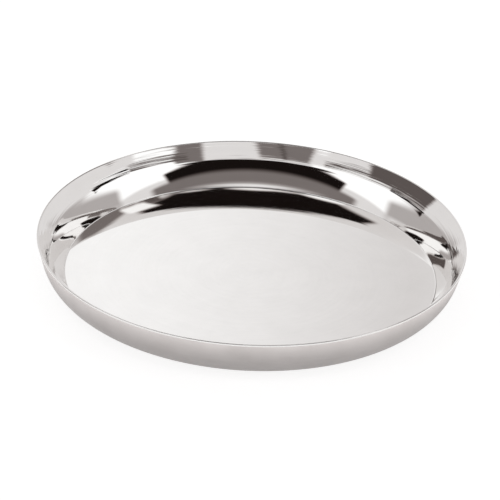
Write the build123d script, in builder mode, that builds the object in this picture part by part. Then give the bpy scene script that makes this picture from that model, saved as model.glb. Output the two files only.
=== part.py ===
"""Round double-wall thali plate: a polished dish in a satin shell, welded together round the rim."""
import os
from math import asin, atan2, copysign, cos, degrees, radians, sin, tan

from build123d import *

# Driving dimensions in millimetres and degrees.
# The plate stands on z = 0, centred on the Z axis.
rim_radius = 150.0
plate_height = 32.0
rim_round = 0.6

# Inner dish: flat floor, steep wall and a collar, both domed so that they flare towards the rim.
# Each lean is the angle by which the wall's or the collar's ends turn away from its mean slope.
dish_sheet = 0.5
floor_height = 4.0
floor_round = 1.0
wall_width = 9.6
wall_lean = 5.5
wall_round = 85.0
bend_round = 20.0
collar_width = 10.2
collar_depth = 10.2
collar_lean = 4.0
collar_round = 85.0

# Outer shell: convex side wall, standing ring and a base panel pressed up inside the ring
shell_sheet = 0.5
shell_slope = 74.0
shell_round = 25.0
standing_ring_width = 13.5
panel_lift = 1.0
panel_step_width = 3.0

# Edge weld: how far it reaches back from the centre of the rim's round
weld_reach = 0.5

# Narrow conical facets that make up each round
floor_facets = 2
wall_facets = 2
bend_facets = 1
collar_facets = 2
shell_facets = 6
rim_facets = 4

# Vent in the base panel and the plug that closes it
vent_radius = 3.0
plug_clearance = 0.05
plug_head_radius = 5.0
plug_head_thickness = 0.5
plug_head_bevel = 0.2
plug_stem_reach = 0.6


def along(angle):
    """Unit vector in the section plane, at an angle above the outward radius."""
    return Vector(cos(radians(angle)), sin(radians(angle)))


def meeting_point(point, angle, other_point, other_angle):
    """Where two lines of the section cross, each given by a point and a slope."""
    gap = other_point - point
    turn = sin(radians(other_angle - angle))
    reach = (gap.X * sin(radians(other_angle)) - gap.Y * cos(radians(other_angle))) / turn
    return point + along(angle) * reach


def rounded(corner, slope_in, slope_out, radius, facets):
    """Points that round off a corner of the section, where its line turns from one slope to another."""
    turn = slope_out - slope_in
    side = copysign(90, turn)
    centre = corner + along((slope_in + slope_out) / 2 + side) * radius / cos(radians(turn / 2))
    return [centre + along(slope_in - side + turn * step / facets) * radius for step in range(facets + 1)]


# Corners of the dish: the ends of its wall, and where the tangents at those ends cross
rim_centre = Vector(rim_radius - rim_round, plate_height - rim_round)
bend_corner = Vector(rim_radius - collar_width, plate_height - collar_depth)
floor_corner = Vector(bend_corner.X - wall_width, floor_height)
wall_slope = degrees(atan2(bend_corner.Y - floor_height, wall_width))
wall_foot_slope = wall_slope + wall_lean
wall_top_slope = wall_slope - wall_lean
wall_corner = meeting_point(floor_corner, wall_foot_slope, bend_corner, wall_top_slope)

# The collar runs from the bend to touch the rim's round
collar_run = rim_centre - bend_corner
collar_slope = degrees(atan2(collar_run.Y, collar_run.X) + asin(rim_round / collar_run.length))
collar_foot_slope = collar_slope + collar_lean
collar_top_slope = collar_slope - collar_lean
collar_edge = rim_centre + along(collar_top_slope + 90) * rim_round
collar_corner = meeting_point(bend_corner, collar_foot_slope, collar_edge, collar_top_slope)

# Corners of the shell; its wall touches the rim's round from outside
shell_edge = rim_centre + along(shell_slope - 90) * rim_round
shell_corner = meeting_point(Vector(0, 0), 0, shell_edge, shell_slope)
ring_outer_radius = shell_corner.X - shell_round * tan(radians(shell_slope / 2))
ring_inner_radius = ring_outer_radius - standing_ring_width

# Both sheets end on one straight cut across the seam, under the weld
seam_slope = (collar_top_slope + shell_slope) / 2
trim_point = rim_centre - along(seam_slope) * weld_reach
collar_trim = meeting_point(collar_edge, collar_top_slope, trim_point, seam_slope + 90)
shell_trim = meeting_point(shell_edge, shell_slope, trim_point, seam_slope + 90)


def trim_seam():
    """Cut a section back to the edge that the weld is laid on."""
    with Locations(Location((trim_point.X, trim_point.Y), seam_slope)):
        Rectangle(4 * rim_round, 8 * rim_round, align=(Align.MIN, Align.CENTER), mode=Mode.SUBTRACT)


# Inner dish, drawn along its polished face and thickened downwards
with BuildPart() as inner_dish:
    with BuildSketch(Plane.XZ):
        with BuildLine():
            Polyline(
                (0, floor_height),
                *rounded(floor_corner, 0, wall_foot_slope, floor_round, floor_facets),
                *rounded(wall_corner, wall_foot_slope, wall_top_slope, wall_round, wall_facets),
                *rounded(bend_corner, wall_top_slope, collar_foot_slope, bend_round, bend_facets),
                *rounded(collar_corner, collar_foot_slope, collar_top_slope, collar_round, collar_facets),
                collar_edge + along(collar_top_slope) * rim_round,
            )
            offset(amount=dish_sheet, side=Side.RIGHT, kind=Kind.INTERSECTION)
        make_face()
        trim_seam()
    revolve(axis=Axis.Z)
inner_dish.part.label = "inner_dish"

# Outer shell, drawn along its satin face and thickened inwards
with BuildPart() as outer_shell:
    with BuildSketch(Plane.XZ):
        with BuildLine():
            Polyline(
                (vent_radius, panel_lift),
                (ring_inner_radius - panel_step_width, panel_lift),
                (ring_inner_radius, 0),
                *rounded(shell_corner, 0, shell_slope, shell_round, shell_facets),
                shell_edge + along(shell_slope) * rim_round,
            )
            offset(amount=shell_sheet, side=Side.LEFT, kind=Kind.INTERSECTION)
        make_face()
        trim_seam()
    revolve(axis=Axis.Z)
outer_shell.part.label = "outer_shell"

# Edge weld, ground round over the two trimmed edges
with BuildPart() as rim_weld:
    with BuildSketch(Plane.XZ):
        with BuildLine():
            rim_corner = meeting_point(shell_edge, shell_slope, collar_edge, collar_top_slope)
            rim_points = rounded(rim_corner, shell_slope, collar_top_slope + 180, rim_round, rim_facets)
            Polyline(shell_trim, *rim_points, collar_trim, close=True)
        make_face()
    revolve(axis=Axis.Z)
rim_weld.part.label = "rim_weld"

# Vent plug: its head seats under the base panel and its stem fills the vent
with BuildPart() as vent_plug:
    with BuildSketch(Plane.XY.offset(panel_lift - plug_head_thickness)):
        Circle(plug_head_radius)
    extrude(amount=plug_head_thickness)
    head_rim = vent_plug.edges().group_by(Axis.Z)[0]
    with BuildSketch(Plane.XY.offset(panel_lift)):
        Circle(vent_radius - plug_clearance)
    extrude(amount=shell_sheet + plug_stem_reach)
    chamfer(head_rim, plug_head_bevel)
vent_plug.part.label = "vent_plug"

os.makedirs("parts", exist_ok=True)
for piece in (inner_dish, outer_shell, rim_weld, vent_plug):
    export_step(piece.part, f"parts/{piece.part.label}.step")
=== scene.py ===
import math

import bpy
from mathutils import Matrix, Vector


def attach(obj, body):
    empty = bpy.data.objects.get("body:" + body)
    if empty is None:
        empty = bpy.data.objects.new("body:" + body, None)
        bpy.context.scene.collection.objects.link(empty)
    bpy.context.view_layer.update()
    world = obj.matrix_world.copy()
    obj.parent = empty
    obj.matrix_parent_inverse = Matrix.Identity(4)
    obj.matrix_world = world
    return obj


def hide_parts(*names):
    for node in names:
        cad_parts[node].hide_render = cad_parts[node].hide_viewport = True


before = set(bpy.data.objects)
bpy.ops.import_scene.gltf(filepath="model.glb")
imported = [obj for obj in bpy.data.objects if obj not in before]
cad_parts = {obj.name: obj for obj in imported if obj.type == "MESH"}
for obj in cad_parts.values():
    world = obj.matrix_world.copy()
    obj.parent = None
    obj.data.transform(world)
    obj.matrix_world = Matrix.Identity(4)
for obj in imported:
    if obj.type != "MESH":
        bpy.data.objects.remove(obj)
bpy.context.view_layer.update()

scene = bpy.context.scene

# Sizes of the plate's section in metres. They are the solids', but for a rim that is eased more on the
# dish's side and a bend that is a little tighter, to make room for that.
MM = 0.001
RIM_RADIUS = 150.0 * MM
PLATE_HEIGHT = 32.0 * MM
RIM_ROUND = 0.6 * MM
LIP_ROUND = 1.2 * MM
SHEET = 0.5 * MM
FLOOR_HEIGHT = 4.0 * MM
FLOOR_ROUND = 1.0 * MM
WALL_WIDTH = 9.6 * MM
WALL_LEAN = math.radians(5.5)
WALL_ROUND = 85.0 * MM
BEND_ROUND = 18.0 * MM
COLLAR_WIDTH = 10.2 * MM
COLLAR_DEPTH = 10.2 * MM
COLLAR_LEAN = math.radians(4.0)
COLLAR_ROUND = 85.0 * MM
SHELL_SLOPE = math.radians(74.0)
SHELL_ROUND = 25.0 * MM
RING_WIDTH = 13.5 * MM
PANEL_LIFT = 1.0 * MM
PANEL_STEP_WIDTH = 3.0 * MM
PANEL_ROUND = 1.2 * MM
VENT_RADIUS = 3.0 * MM
PLUG_CLEARANCE = 0.05 * MM
PLUG_HEAD_RADIUS = 5.0 * MM
PLUG_HEAD_THICKNESS = 0.5 * MM
PLUG_EDGE_ROUND = 0.2 * MM
PLUG_STEM_REACH = 0.6 * MM
WELD_REACH = 0.5 * MM

# How finely the pieces are turned. SIDE_START is the part of the shell's straight side that lies before
# the side's first ring. An edge that turns by less than SHARP_TURN is shaded smooth.
TURN_STEPS = 384
ARC_STEP = math.radians(2.0)
LEAST_ARC_STEPS = 4
RING_STEP = 12.0 * MM
SIDE_START = 0.1
SHARP_TURN = math.radians(25.0)
ON_AXIS = 1e-6 * MM


def along(angle):
    """Unit vector in the section plane, at an angle above the outward radius."""
    return Vector((math.cos(angle), math.sin(angle)))


def slope_of(run):
    """Angle of a run of the section above the outward radius."""
    return math.atan2(run.y, run.x)


def meeting_point(point, angle, other_point, other_angle):
    """Where two lines of the section cross, each given by a point and a slope."""
    gap = other_point - point
    turn = math.sin(other_angle - angle)
    reach = (gap.x * math.sin(other_angle) - gap.y * math.cos(other_angle)) / turn
    return point + along(angle) * reach


def rounded(corner, slope_in, slope_out, radius):
    """Points that round off a corner of the section, where its line turns from one slope to another."""
    turn = slope_out - slope_in
    side = math.copysign(math.pi / 2, turn)
    centre = corner + along((slope_in + slope_out) / 2 + side) * (radius / math.cos(turn / 2))
    steps = max(LEAST_ARC_STEPS, math.ceil(abs(turn) / ARC_STEP))
    return [centre + along(slope_in - side + turn * step / steps) * radius for step in range(steps + 1)]


def offset_line(points, amount):
    """The line that runs beside a section line, at a distance to its left."""
    moved = []
    for index, point in enumerate(points):
        before = points[max(index - 1, 0)]
        after = points[min(index + 1, len(points) - 1)]
        slopes = [slope_of(run) for run in (point - before, after - point) if run.length > 0]
        half_turn = (slopes[-1] - slopes[0]) / 2
        moved.append(point + along(slopes[0] + half_turn + math.pi / 2) * (amount / math.cos(half_turn)))
    return moved


def divided(start, end):
    """Points from one end of a long flat run to the other, a ring's step apart, without its last one."""
    steps = max(1, math.ceil((end - start).length / RING_STEP))
    return [start.lerp(end, step / steps) for step in range(steps)]


# Corners of the section
rim_centre = Vector((RIM_RADIUS - RIM_ROUND, PLATE_HEIGHT - RIM_ROUND))
bend_corner = Vector((RIM_RADIUS - COLLAR_WIDTH, PLATE_HEIGHT - COLLAR_DEPTH))
floor_corner = Vector((bend_corner.x - WALL_WIDTH, FLOOR_HEIGHT))
wall_slope = slope_of(bend_corner - floor_corner)
wall_foot_slope = wall_slope + WALL_LEAN
wall_top_slope = wall_slope - WALL_LEAN
wall_corner = meeting_point(floor_corner, wall_foot_slope, bend_corner, wall_top_slope)
lip_centre = Vector((rim_centre.x, PLATE_HEIGHT - LIP_ROUND))
collar_run = lip_centre - bend_corner
collar_slope = slope_of(collar_run) + math.asin(LIP_ROUND / collar_run.length)
collar_foot_slope = collar_slope + COLLAR_LEAN
collar_top_slope = collar_slope - COLLAR_LEAN
collar_edge = lip_centre + along(collar_top_slope + math.pi / 2) * LIP_ROUND
collar_corner = meeting_point(bend_corner, collar_foot_slope, collar_edge, collar_top_slope)
shell_edge = rim_centre + along(SHELL_SLOPE - math.pi / 2) * RIM_ROUND
shell_corner = meeting_point(Vector((0, 0)), 0, shell_edge, SHELL_SLOPE)
ring_outer_radius = shell_corner.x - SHELL_ROUND * math.tan(SHELL_SLOPE / 2)
ring_inner_radius = ring_outer_radius - RING_WIDTH
seam_slope = (collar_top_slope + SHELL_SLOPE) / 2
trim_point = rim_centre - along(seam_slope) * WELD_REACH


def cut_at_seam(point, slope):
    """Where a sheet's face ends, on the cut that the weld is laid on."""
    return meeting_point(point, slope, trim_point, seam_slope + math.pi / 2)


def dish_outline():
    """Section of the dish: its polished face from the axis out, then its underside back."""
    face = divided(Vector((0, FLOOR_HEIGHT)), floor_corner - Vector((2 * FLOOR_ROUND, 0)))
    face += rounded(floor_corner, 0, wall_foot_slope, FLOOR_ROUND)
    face += rounded(wall_corner, wall_foot_slope, wall_top_slope, WALL_ROUND)
    face += rounded(bend_corner, wall_top_slope, collar_foot_slope, BEND_ROUND)
    face += rounded(collar_corner, collar_foot_slope, collar_top_slope, COLLAR_ROUND)
    face.append(cut_at_seam(collar_edge, collar_top_slope))
    under = offset_line(face, -SHEET)
    under[-1] = cut_at_seam(under[-2], collar_top_slope)
    return face + under[::-1]


def shell_outline():
    """Section of the shell: its satin face from the vent out to the rim, then its inner side back."""
    panel_corner = Vector((ring_inner_radius - PANEL_STEP_WIDTH, PANEL_LIFT))
    ring_corner = Vector((ring_inner_radius, 0))
    step_slope = slope_of(ring_corner - panel_corner)
    face = divided(Vector((VENT_RADIUS, PANEL_LIFT)), panel_corner - Vector((PANEL_STEP_WIDTH, 0)))
    face += rounded(panel_corner, 0, step_slope, PANEL_ROUND)
    face += rounded(ring_corner, step_slope, 0, PANEL_ROUND)
    face += rounded(shell_corner, 0, SHELL_SLOPE, SHELL_ROUND)
    face += divided(face[-1].lerp(shell_edge, SIDE_START), shell_edge)
    face.append(cut_at_seam(shell_edge, SHELL_SLOPE))
    inner = offset_line(face, SHEET)
    inner[-1] = cut_at_seam(inner[-2], SHELL_SLOPE)
    return face + inner[::-1]


def weld_outline():
    """Section of the edge weld: round over both sheets' cut edges, and eased more on the dish's side."""
    top = Vector((rim_centre.x, PLATE_HEIGHT))
    outer_corner = meeting_point(shell_edge, SHELL_SLOPE, top, 0)
    lip_corner = meeting_point(top, 0, collar_edge, collar_top_slope)
    edge = rounded(outer_corner, SHELL_SLOPE, math.pi, RIM_ROUND)
    lip = rounded(lip_corner, math.pi, collar_top_slope + math.pi, LIP_ROUND)
    shell_cut = cut_at_seam(shell_edge, SHELL_SLOPE)
    collar_cut = cut_at_seam(collar_edge, collar_top_slope)
    return [shell_cut, *edge, *lip[1:], collar_cut]


def plug_outline():
    """Section of the vent plug: a round-edged head under the base panel and a stem in the vent."""
    head_top = PANEL_LIFT
    head_low = PANEL_LIFT - PLUG_HEAD_THICKNESS
    stem = VENT_RADIUS - PLUG_CLEARANCE
    stem_top = PANEL_LIFT + SHEET + PLUG_STEM_REACH
    edge = rounded(Vector((PLUG_HEAD_RADIUS, head_low)), 0, math.pi / 2, PLUG_EDGE_ROUND)
    rest = [(PLUG_HEAD_RADIUS, head_top), (stem, head_top), (stem, stem_top), (0, stem_top)]
    return [Vector((0, head_low)), *edge, *(Vector(point) for point in rest)]


def turned(name, outline):
    """A piece turned about the Z axis from a closed outline of its section."""
    verts, rings = [], []
    for point in outline:
        if point.x < ON_AXIS:
            rings.append([len(verts)] * TURN_STEPS)
            verts.append((0, 0, point.y))
            continue
        rings.append(list(range(len(verts), len(verts) + TURN_STEPS)))
        for step in range(TURN_STEPS):
            turn = 2 * math.pi * step / TURN_STEPS
            verts.append((point.x * math.cos(turn), point.x * math.sin(turn), point.y))
    faces = []
    for ring, following in zip(rings, rings[1:] + rings[:1]):
        for step in range(TURN_STEPS):
            after = (step + 1) % TURN_STEPS
            corners = dict.fromkeys((ring[step], ring[after], following[after], following[step]))
            if len(corners) > 2:
                faces.append(tuple(corners))
    mesh = bpy.data.meshes.new(name)
    mesh.from_pydata(verts, [], faces)
    mesh.shade_smooth()
    mesh.set_sharp_from_angle(angle=SHARP_TURN)
    piece = bpy.data.objects.new(name, mesh)
    scene.collection.objects.link(piece)
    return piece


class Tree:
    """Adds nodes to a node tree. Each call makes a node, links or sets its inputs and returns an output."""

    def __init__(self, tree):
        self.nodes = tree.nodes
        self.links = tree.links

    def add(self, kind, *inputs, output=0, **settings):
        """A new node's output. The inputs go to its sockets in turn, and None leaves a socket alone."""
        node = self.nodes.new(kind)
        for key, value in settings.items():
            setattr(node, key, value)
        for socket, value in zip(node.inputs, inputs):
            self.join(value, socket)
        return node.outputs[output]

    def join(self, value, socket):
        """Link an output to a socket, or set the socket to a constant."""
        if isinstance(value, bpy.types.NodeSocket):
            self.links.new(value, socket)
        elif value is not None:
            socket.default_value = value

    def math(self, operation, *inputs):
        return self.add("ShaderNodeMath", *inputs, operation=operation)

    def fit(self, value, low, high, new_low, new_high):
        """A value moved from one range to another, and held to it."""
        return self.add("ShaderNodeMapRange", value, low, high, new_low, new_high)

    def noise(self, place, scale, detail, roughness):
        return self.add("ShaderNodeTexNoise", place, None, scale, detail, roughness)

    def dot(self, way, axis):
        return self.add("ShaderNodeVectorMath", way, axis, operation="DOT_PRODUCT", output="Value")

    def angle(self, aside, ahead):
        """Angle between straight ahead and a direction, on either side."""
        return self.math("ARCTAN2", self.math("ABSOLUTE", aside), ahead)

    def near(self, distance, half, edge):
        """1 inside a half width and 0 outside it, with a soft edge."""
        return self.add("ShaderNodeMapRange", distance, half + edge, half - edge, 0.0, 1.0,
                        interpolation_type="SMOOTHSTEP")


# Noises of the steel's finish: scale, detail and roughness. The scale is per metre, or per pitch for lines.
LINE_NOISE = (1.0, 2.0, 0.6)
SMUDGE_NOISE = (45.0, 4.0, 0.6)
GRAIN_NOISE = (900.0, 2.0, 0.5)
LINE_CHANGE_ROUND = 1.5
LEAST_RADIUS = 1.0 * MM

# How the finish varies: the smudges' share in it, the part of the noise's range that is used, and what
# the roughness and the tone are multiplied by at both ends of that
SMUDGE_SHARE = 0.7
UNEVEN = (0.35, 0.65)
ROUGHNESS_SPREAD = (0.8, 1.25)
TONE_SPREAD = (0.97, 1.01)
# How sharply the painted shade at the foot gathers downwards, as a power of the height
FOOT_SHADE_FADE = 2.0
SHINE_TURN = 0.25
COLLAR_BLEND = 1.0 * MM


def finish_patterns(tree, line_pitch):
    """Radius and height on the plate, and the noises of the finish there: lines, smudges and grain."""
    place = tree.add("ShaderNodeTexCoord", output="Object")
    x, y, z = tree.add("ShaderNodeSeparateXYZ", place).node.outputs
    squares = tree.math("ADD", tree.math("MULTIPLY", x, x), tree.math("MULTIPLY", y, y))
    radius = tree.math("MAXIMUM", tree.math("SQRT", squares), LEAST_RADIUS)
    way = tree.math("DIVIDE", tree.math("ADD", radius, z), line_pitch)
    round_x = tree.math("MULTIPLY", tree.math("DIVIDE", x, radius), LINE_CHANGE_ROUND)
    round_y = tree.math("MULTIPLY", tree.math("DIVIDE", y, radius), LINE_CHANGE_ROUND)
    lines = tree.noise(tree.add("ShaderNodeCombineXYZ", way, round_x, round_y), *LINE_NOISE)
    return radius, z, lines, tree.noise(place, *SMUDGE_NOISE), tree.noise(place, *GRAIN_NOISE)


def steel(name, color, roughness, line_pitch, line_depth, collar_depth=0.0, grain_depth=0.0, brushed=0.0,
          painted_foot_shade=1.0):
    """Steel with lines round its axis from spinning, uneven polish and, if asked, a satin grain and painted
    shade towards its foot.

    line_depth is the lines' height, and collar_depth what the flared collar has more of it.
    brushed is how far its shine is drawn out across the lines.
    The foot shade is the part of the color that is left at the foot. It is painted shade that darkens the
    color towards the foot, for the shadowed floor that the steel mirrors there.
    """
    material = bpy.data.materials.new(name)
    material.use_nodes = True
    sockets = material.node_tree.nodes["Principled BSDF"].inputs
    sockets["Metallic"].default_value = 1
    sockets["Anisotropic"].default_value = brushed
    sockets["Anisotropic Rotation"].default_value = SHINE_TURN
    tree = Tree(material.node_tree)
    tree.join(tree.add("ShaderNodeTangent", direction_type="RADIAL", axis="Z"), sockets["Tangent"])
    radius, z, lines, smudges, grain = finish_patterns(tree, line_pitch)

    uneven = tree.math("ADD", tree.math("MULTIPLY", smudges, SMUDGE_SHARE),
                       tree.math("MULTIPLY", lines, 1 - SMUDGE_SHARE))
    rough = [roughness * part for part in ROUGHNESS_SPREAD]
    tree.join(tree.fit(uneven, *UNEVEN, *rough), sockets["Roughness"])
    # Painted shade: the color is darkened towards the foot, for the shadowed floor that the steel mirrors
    # there
    rise = tree.math("POWER", tree.fit(z, 0.0, PLATE_HEIGHT, 0.0, 1.0), FOOT_SHADE_FADE)
    tone = tree.math("MULTIPLY", tree.fit(uneven, *UNEVEN, *TONE_SPREAD),
                     tree.fit(rise, 0.0, 1.0, painted_foot_shade, 1.0))
    shades = [tree.math("MULTIPLY", tone, part) for part in color]
    tree.join(tree.add("ShaderNodeCombineColor", *shades), sockets["Base Color"])

    depth = tree.fit(radius, bend_corner.x - COLLAR_BLEND, bend_corner.x + COLLAR_BLEND,
                     line_depth, line_depth + collar_depth)
    height = tree.math("ADD", tree.math("MULTIPLY", lines, depth),
                       tree.math("MULTIPLY", grain, grain_depth))
    bump = tree.add("ShaderNodeBump")
    bump.node.inputs["Distance"].default_value = 1.0
    tree.join(height, bump.node.inputs["Height"])
    tree.join(bump, sockets["Normal"])
    return material


polished = steel("polished", color=(0.88, 0.865, 0.855), roughness=0.035, line_pitch=2.5 * MM,
                 line_depth=0.0005 * MM, collar_depth=0.09 * MM)
# The satin shell's color has painted shade towards its foot
satin = steel("satin", color=(0.8, 0.755, 0.74), roughness=0.42, line_pitch=1.0 * MM,
              line_depth=0.004 * MM, grain_depth=0.01 * MM, brushed=0.85, painted_foot_shade=0.48)
bead = steel("bead", color=(0.84, 0.825, 0.815), roughness=0.06, line_pitch=0.6 * MM,
             line_depth=0.0005 * MM)
brazed = steel("brazed", color=(0.5, 0.475, 0.465), roughness=0.4, line_pitch=0.8 * MM,
               line_depth=0.004 * MM, grain_depth=0.01 * MM)

pieces = [
    ("polished_dish", dish_outline(), "inner_dish", "polished_steel", polished),
    ("satin_shell", shell_outline(), "outer_shell", "satin_steel", satin),
    ("rim_bead", weld_outline(), "rim_weld", "rim_steel", bead),
    ("vent_cap", plug_outline(), "vent_plug", "plug_steel", brazed),
]
for name, outline, node, slot, material in pieces:
    piece = turned(name, outline)
    piece.data.materials.append(material)
    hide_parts(node)
    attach(piece, "root")

# Camera: far away with a long lens, level with the photograph's view and rolled as it is
CAMERA_DISTANCE = 3.0
CAMERA_REACH = 50.0
CAMERA_ELEVATION = math.radians(28.75)
CAMERA_ROLL = math.radians(2.77)
IMAGE_SIZE = 500
FOCAL_PIXELS = 4285.0
FLOOR_CENTRE_PIXEL = (250.27, 273.7)
SENSOR = 36.0

pixel = CAMERA_DISTANCE / FOCAL_PIXELS
floor_centre = Vector((0, 0, FLOOR_HEIGHT))
back = Vector((0, -math.cos(CAMERA_ELEVATION), math.sin(CAMERA_ELEVATION)))
level_up = Vector((0, math.sin(CAMERA_ELEVATION), math.cos(CAMERA_ELEVATION)))
image_right = Vector((1, 0, 0)) * math.cos(CAMERA_ROLL) + level_up * math.sin(CAMERA_ROLL)
image_up = back.cross(image_right)
aim = floor_centre - image_right * (FLOOR_CENTRE_PIXEL[0] - IMAGE_SIZE / 2) * pixel
aim += image_up * (FLOOR_CENTRE_PIXEL[1] - IMAGE_SIZE / 2) * pixel
place = floor_centre + back * CAMERA_DISTANCE
away = (place - aim).normalized()
right = image_up.cross(away).normalized()
up = away.cross(right)
camera_data = bpy.data.cameras.new("camera")
camera_data.lens = SENSOR * FOCAL_PIXELS / IMAGE_SIZE
camera_data.sensor_width = SENSOR
camera_data.clip_end = CAMERA_REACH
camera = bpy.data.objects.new("camera", camera_data)
camera.matrix_world = Matrix.Translation(place) @ Matrix((right, up, away)).transposed().to_4x4()
scene.collection.objects.link(camera)
scene.camera = camera

scene.view_settings.view_transform = "Standard"

# Studio round the plate: flat cards of light and shade in a pale tent, in degrees as the plate sees them.
# Each card has its azimuth from straight behind the plate towards the right, its elevation, its roll,
# half its width, half its height, half the width of its soft edge and its tone. A later card lies over
# the earlier ones. The dish's flat floor mirrors the backdrop, its back wall the cards in front, and the
# left side of its wall and collar the cards on the right.
# A tone of 1 is white by itself. The white cards are above that, since the steel takes some of the light.
BLACK = 0.006
DARK = 0.1
GREY = 0.18
MID = 0.45
DIM = 0.56
PALE = 0.8
PAPER = 1.05
WHITE = 1.2
CARDS = {
    # Overhead: dark, with a lit edge that draws the thin line under the wall's foot
    "ceiling": (0, 85, 0, 26, 20, 2, BLACK),
    "ceiling_right_bar": (70, 60, 30, 5, 3, 1.5, DARK),
    "ceiling_front_edge": (180, 72, 0, 26, 4, 1.5, WHITE),
    "ceiling_right_edge": (117, 67, 20, 10, 3, 1, WHITE),
    "ceiling_left_front_edge": (-138, 70, -20, 8, 3, 1, WHITE),
    "ceiling_left_edge": (-105, 66, -25, 10, 3, 1, WHITE),
    # White boxes on both sides, with grey under them
    "right_box": (100, 24, 30, 40, 10, 1.5, WHITE),
    "right_box_low": (65, 6, 15, 30, 7, 3, MID),
    "left_box": (-105, 26, -30, 35, 9, 1.5, WHITE),
    "left_box_low": (-65, 8, -15, 30, 7, 3, MID),
    # Front: a black slot over a grey one, and a light low down that draws the line at the wall's foot
    "front_slot": (180, 36, 0, 48, 9, 1.5, BLACK),
    "front_grey": (180, 26, 0, 60, 6.5, 3, GREY),
    "front_low_light": (180, 13, 0, 60, 6, 1.5, WHITE),
    # What the collar's right side mirrors: panels, and long streaks and bars along its bend
    "left_shade": (-80, 37, -35, 18, 8, 1.5, DARK),
    "left_front_panel": (-158, 58, -10, 11, 9, 1.5, GREY),
    "left_front_stripe": (-160, 58, 0, 1, 9, 1, DARK),
    "left_streak": (-111, 43.5, -22, 16, 2, 1, DARK),
    "left_bar_edge": (-80, 27.5, -32, 12, 1, 0.5, MID),
    "left_bar": (-80, 23.5, -37, 13, 2.3, 0.5, BLACK),
    # A grey shade with a lamp over its edge, for the left end of the dark band in the floor
    "right_shade": (40, 45, 20, 30, 8, 1.5, GREY),
    "right_shade_lamp": (53, 58, 40, 6, 4, 1.5, WHITE),
    # What the collar's left side mirrors: the same kinds of card
    "right_front_panel": (132, 50, 25, 7, 12, 1.5, GREY),
    "right_lamp": (108, 50, 22, 9, 3.5, 1.5, WHITE),
    "right_streak": (113, 43.5, 22, 15, 2.2, 1, DARK),
    "right_bar_edge": (84, 30.5, 39, 13, 1, 0.5, WHITE),
    "right_bar": (86, 27.5, 39, 12.5, 2.4, 0.5, BLACK),
    # Behind: paper that is dimmer on the right
    "backdrop": (0, 29, 0, 9, 6, 4, PAPER),
    "backdrop_shade": (9, 29, 0, 6.5, 6, 4, DIM),
}
# The darker the light, the warmer it is: powers of the level for red, green and blue
WARMTH = (0.93, 1.0, 1.02)


def lay_card(tree, level, direction, card):
    """The level of the light from a direction, with a straight-edged card laid over it."""
    azimuth, elevation, roll, half_width, half_height, edge = (math.radians(angle) for angle in card[:-1])
    turn = Matrix.Rotation(-azimuth, 3, "Z") @ Matrix.Rotation(elevation, 3, "X")
    turn = turn @ Matrix.Rotation(-roll, 3, "Y")
    side, ahead, top = (tree.dot(direction, axis) for axis in turn.transposed())
    across = tree.near(tree.angle(side, ahead), half_width, edge)
    upright = tree.near(tree.angle(top, ahead), half_height, edge)
    return tree.fit(tree.math("MULTIPLY", across, upright), 0.0, 1.0, level, card[-1])


def build_studio(world):
    """Paint the cards on the sky."""
    world.use_nodes = True
    tree = Tree(world.node_tree)
    direction = tree.add("ShaderNodeTexCoord")
    level = PALE
    for card in CARDS.values():
        level = lay_card(tree, level, direction, card)
    shades = [tree.math("POWER", level, power) for power in WARMTH]
    color = tree.add("ShaderNodeCombineColor", *shades)
    tree.join(color, world.node_tree.nodes["Background"].inputs["Color"])


scene.world = bpy.data.worlds.new("studio")
build_studio(scene.world)

# Floor: pale, and white to the camera and in the steel, with the plate's soft shadow on it
FLOOR_REACH = 20.0
FLOOR_GLOW = 0.78
FLOOR_COLOR = (0.5, 0.5, 0.5)


def floor_material():
    """Matt, with a glow that the camera and the steel see, so that it is white where no shadow falls."""
    material = bpy.data.materials.new("pale_floor")
    material.use_nodes = True
    nodes = material.node_tree.nodes
    nodes.remove(nodes["Principled BSDF"])
    tree = Tree(material.node_tree)
    path = tree.add("ShaderNodeLightPath").node.outputs
    seen = tree.math("MAXIMUM", path["Is Camera Ray"],
                     tree.math("MAXIMUM", path["Is Glossy Ray"], path["Is Transmission Ray"]))
    matt = tree.add("ShaderNodeBsdfDiffuse", (*FLOOR_COLOR, 1))
    glow = tree.add("ShaderNodeEmission", (1, 1, 1, 1), tree.math("MULTIPLY", seen, FLOOR_GLOW))
    lit = tree.add("ShaderNodeAddShader", matt, glow)
    behind = tree.add("ShaderNodeNewGeometry", output="Backfacing")
    sheer = tree.add("ShaderNodeMixShader", behind, lit, tree.add("ShaderNodeBsdfTransparent"))
    tree.join(sheer, nodes["Material Output"].inputs["Surface"])
    return material


corners = [(-FLOOR_REACH, -FLOOR_REACH, 0), (FLOOR_REACH, -FLOOR_REACH, 0),
           (FLOOR_REACH, FLOOR_REACH, 0), (-FLOOR_REACH, FLOOR_REACH, 0)]
floor_mesh = bpy.data.meshes.new("floor")
floor_mesh.from_pydata(corners, [], [(0, 1, 2, 3)])
floor_mesh.materials.append(floor_material())
floor = bpy.data.objects.new("floor", floor_mesh)
scene.collection.objects.link(floor)
